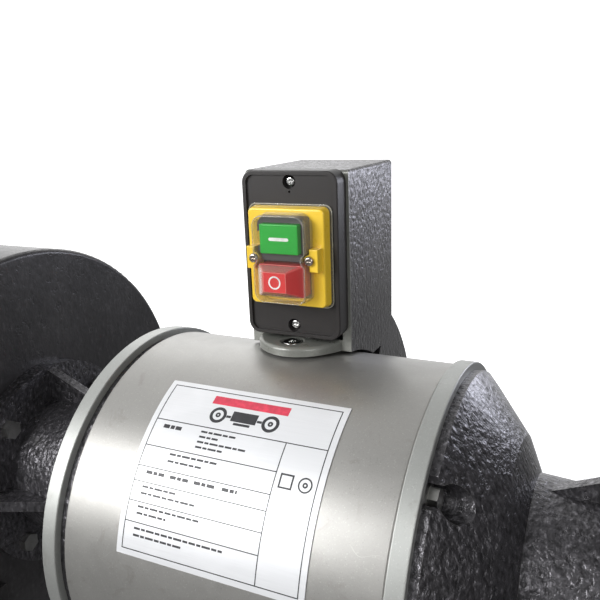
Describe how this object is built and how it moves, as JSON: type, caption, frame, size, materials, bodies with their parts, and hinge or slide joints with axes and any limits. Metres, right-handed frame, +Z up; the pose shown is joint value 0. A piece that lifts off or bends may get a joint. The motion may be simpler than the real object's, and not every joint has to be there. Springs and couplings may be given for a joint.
{
  "type": "bench grinder",
  "caption": "Double-ended bench grinder: cylindrical motor on a cast base, guarded wheels, tool rests, eye shields and a guarded push-button switch box.",
  "frame": {"origin": "centre of the four base bolt holes, on the plane under the foot pads", "axes": "+X along the arbor to the right seen from the operator, -Y towards the operator, +Z up"},
  "size_m": [0.704, 0.4195, 0.446],
  "materials": {
    "motor_paint": "satin",
    "ring_paint": "satin",
    "cast_dark": "matte",
    "base_paint": "satin",
    "guard_paint": "satin",
    "cover_paint": "satin",
    "foot_rubber": "matte",
    "zinc_steel": "satin",
    "bright_screw": "polished",
    "lamination": "satin",
    "winding": "satin",
    "cage_alloy": "satin",
    "bearing_steel": "polished",
    "shaft_steel": "satin",
    "nut_steel": "satin",
    "flange_steel": "satin",
    "blotter_paper": "matte",
    "wheel_coarse": "matte",
    "wheel_fine": "matte",
    "rest_iron": "satin",
    "arm_paint": "satin",
    "arrestor_steel": "satin",
    "shield_plastic": "matte",
    "lens_clear": "gloss",
    "plate_black": "matte",
    "gasket_clear": "satin",
    "bezel_yellow": "satin",
    "frame_black": "satin",
    "start_green": "satin",
    "stop_red": "satin",
    "cover_clear": "gloss",
    "module_black": "matte",
    "terminal_brass": "satin",
    "spring_steel": "satin",
    "gland_black": "matte",
    "rating_foil": "satin"
  },
  "bodies": {
    "frame": {"motor_shell": "motor_paint", "end_rings": "ring_paint", "switch_box": "cast_dark", "end_bell_left": "cast_dark", "end_bell_right": "cast_dark", "base_casting": "base_paint", "guard_left": "guard_paint", "guard_right": "guard_paint", "guard_cover_left": "cover_paint", "guard_cover_right": "cover_paint", "foot_pads": "foot_rubber", "motor_bolts": "zinc_steel", "end_bell_bolts": "zinc_steel", "guard_cover_screws": "zinc_steel", "guard_bolts": "zinc_steel", "rest_clamp_screws": "zinc_steel", "guard_fitting_screws": "zinc_steel", "plate_screws": "bright_screw", "cover_screws": "bright_screw", "switch_box_screws": "bright_screw", "stator_core": "lamination", "stator_windings": "winding", "bearing_outer_rings": "bearing_steel", "shield_arm_left": "arm_paint", "shield_arm_right": "arm_paint", "switch_plate": "plate_black", "switch_gasket": "gasket_clear", "switch_bezel": "bezel_yellow", "switch_frame": "frame_black", "clear_cover": "cover_clear", "switch_module": "module_black", "terminal_screws": "terminal_brass", "start_spring": "spring_steel", "stop_spring": "spring_steel", "cable_gland": "gland_black", "rating_plate": "rating_foil"},
    "rotor": {"arbor_shaft": "shaft_steel", "rotor_core": "lamination", "rotor_cage": "cage_alloy", "bearing_inner_rings": "bearing_steel", "bearing_balls": "bearing_steel", "wheel_left": "wheel_coarse", "wheel_right": "wheel_fine", "wheel_flanges": "flange_steel", "wheel_blotters": "blotter_paper", "arbor_nuts": "nut_steel"},
    "start": {"start_button": "start_green"},
    "stop": {"stop_button": "stop_red"},
    "rest_arm_left": {"rest_arm_left": "arm_paint", "rest_pivot_left": "zinc_steel"},
    "rest_table_left": {"rest_table_left": "rest_iron"},
    "spark_arrestor_left": {"spark_arrestor_left": "arrestor_steel"},
    "eye_shield_left": {"shield_frame_left": "shield_plastic", "shield_lens_left": "lens_clear"},
    "rest_arm_right": {"rest_arm_right": "arm_paint", "rest_pivot_right": "zinc_steel"},
    "rest_table_right": {"rest_table_right": "rest_iron"},
    "spark_arrestor_right": {"spark_arrestor_right": "arrestor_steel"},
    "eye_shield_right": {"shield_frame_right": "shield_plastic", "shield_lens_right": "lens_clear"}
  },
  "joints": [
    {"name": "rotor_spin", "type": "hinge", "parent": "frame", "child": "rotor", "pos_m": [0, 0, 0.203], "axis": [1, 0, 0], "continuous": true},
    {"name": "start_press", "type": "slide", "parent": "frame", "child": "start", "axis": [0, 1, 0], "range_m": [0, 0.004], "stiffness_N_per_m": 900, "springref_m": -0.002, "deforming": ["start_spring"]},
    {"name": "stop_press", "type": "slide", "parent": "frame", "child": "stop", "axis": [0, 1, 0], "range_m": [0, 0.004], "stiffness_N_per_m": 900, "springref_m": -0.002, "deforming": ["stop_spring"]},
    {"name": "rest_slide_left", "type": "slide", "parent": "frame", "child": "rest_arm_left", "axis": [0, -1, 0], "range_m": [0, 0.025]},
    {"name": "rest_tilt_left", "type": "hinge", "parent": "rest_arm_left", "child": "rest_table_left", "pos_m": [-0.289, -0.2, 0.186], "axis": [1, 0, 0], "range_deg": [-25, 25]},
    {"name": "spark_slide_left", "type": "slide", "parent": "frame", "child": "spark_arrestor_left", "axis": [0, -0.5299, 0.848], "range_m": [0, 0.02]},
    {"name": "shield_tilt_left", "type": "hinge", "parent": "frame", "child": "eye_shield_left", "pos_m": [-0.29, -0.118, 0.435], "axis": [1, 0, 0], "range_deg": [-60, 10]},
    {"name": "rest_slide_right", "type": "slide", "parent": "frame", "child": "rest_arm_right", "axis": [0, -1, 0], "range_m": [0, 0.025]},
    {"name": "rest_tilt_right", "type": "hinge", "parent": "rest_arm_right", "child": "rest_table_right", "pos_m": [0.289, -0.2, 0.186], "axis": [1, 0, 0], "range_deg": [-25, 25]},
    {"name": "spark_slide_right", "type": "slide", "parent": "frame", "child": "spark_arrestor_right", "axis": [0, -0.5299, 0.848], "range_m": [0, 0.02]},
    {"name": "shield_tilt_right", "type": "hinge", "parent": "frame", "child": "eye_shield_right", "pos_m": [0.29, -0.118, 0.435], "axis": [1, 0, 0], "range_deg": [-60, 10]}
  ]
}
